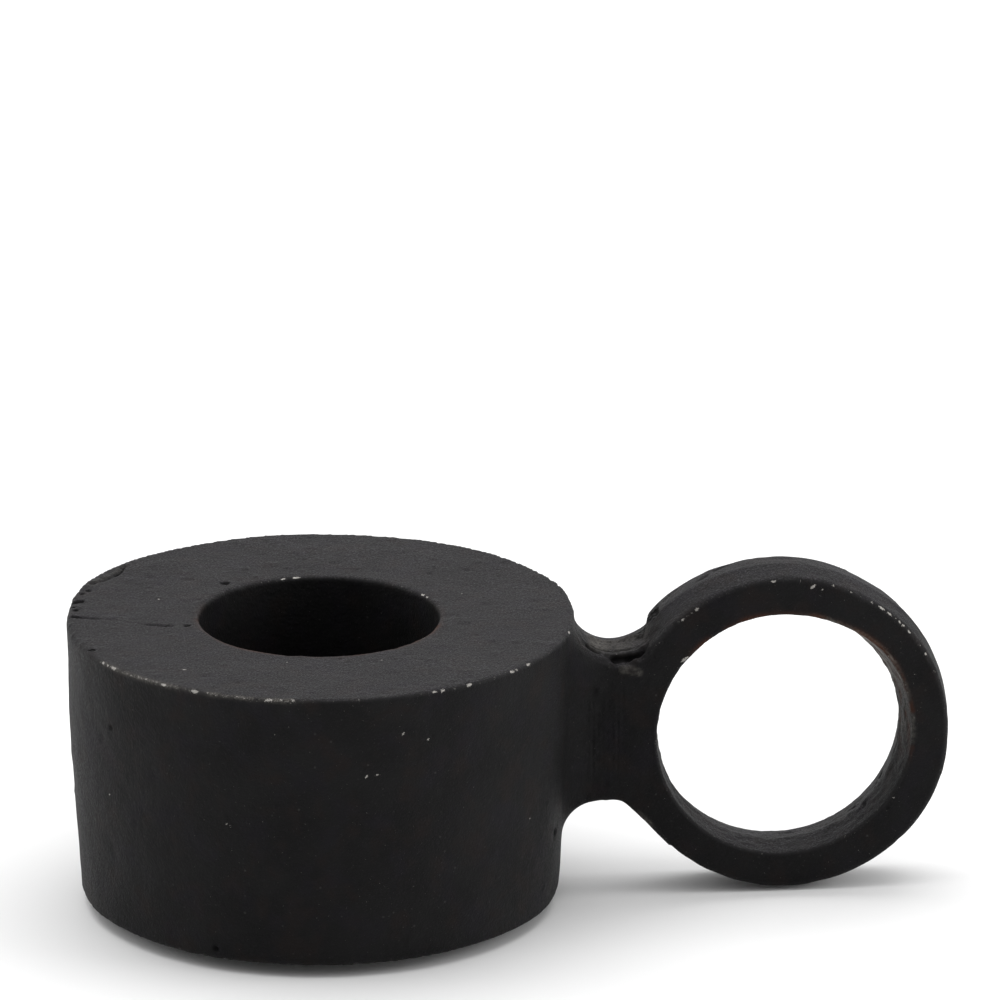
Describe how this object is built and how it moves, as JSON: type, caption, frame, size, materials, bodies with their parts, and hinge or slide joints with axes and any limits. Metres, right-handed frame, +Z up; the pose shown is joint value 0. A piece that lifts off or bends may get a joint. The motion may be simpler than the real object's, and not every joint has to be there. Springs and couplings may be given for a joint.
{
  "type": "candle holder",
  "caption": "Low round cast-iron chamberstick with a socket for a dinner candle and an upright finger ring on a short neck.",
  "frame": {"origin": "centre of the felt pad's underside, on the candle's axis", "axes": "+Z up along the candle's axis, +X from the cup towards the finger ring, -Y towards a viewer who has the ring on the right"},
  "size_m": [0.0848, 0.0488, 0.032],
  "materials": {
    "black_iron": "matt black paint over as-cast iron, worn to bare metal in small chips along the edges",
    "black_felt": "pressed wool felt"
  },
  "bodies": {
    "root": {"candle_cup": "black_iron", "handle_neck": "black_iron", "finger_ring": "black_iron", "felt_base_pad": "black_felt"}
  },
  "joints": []
}
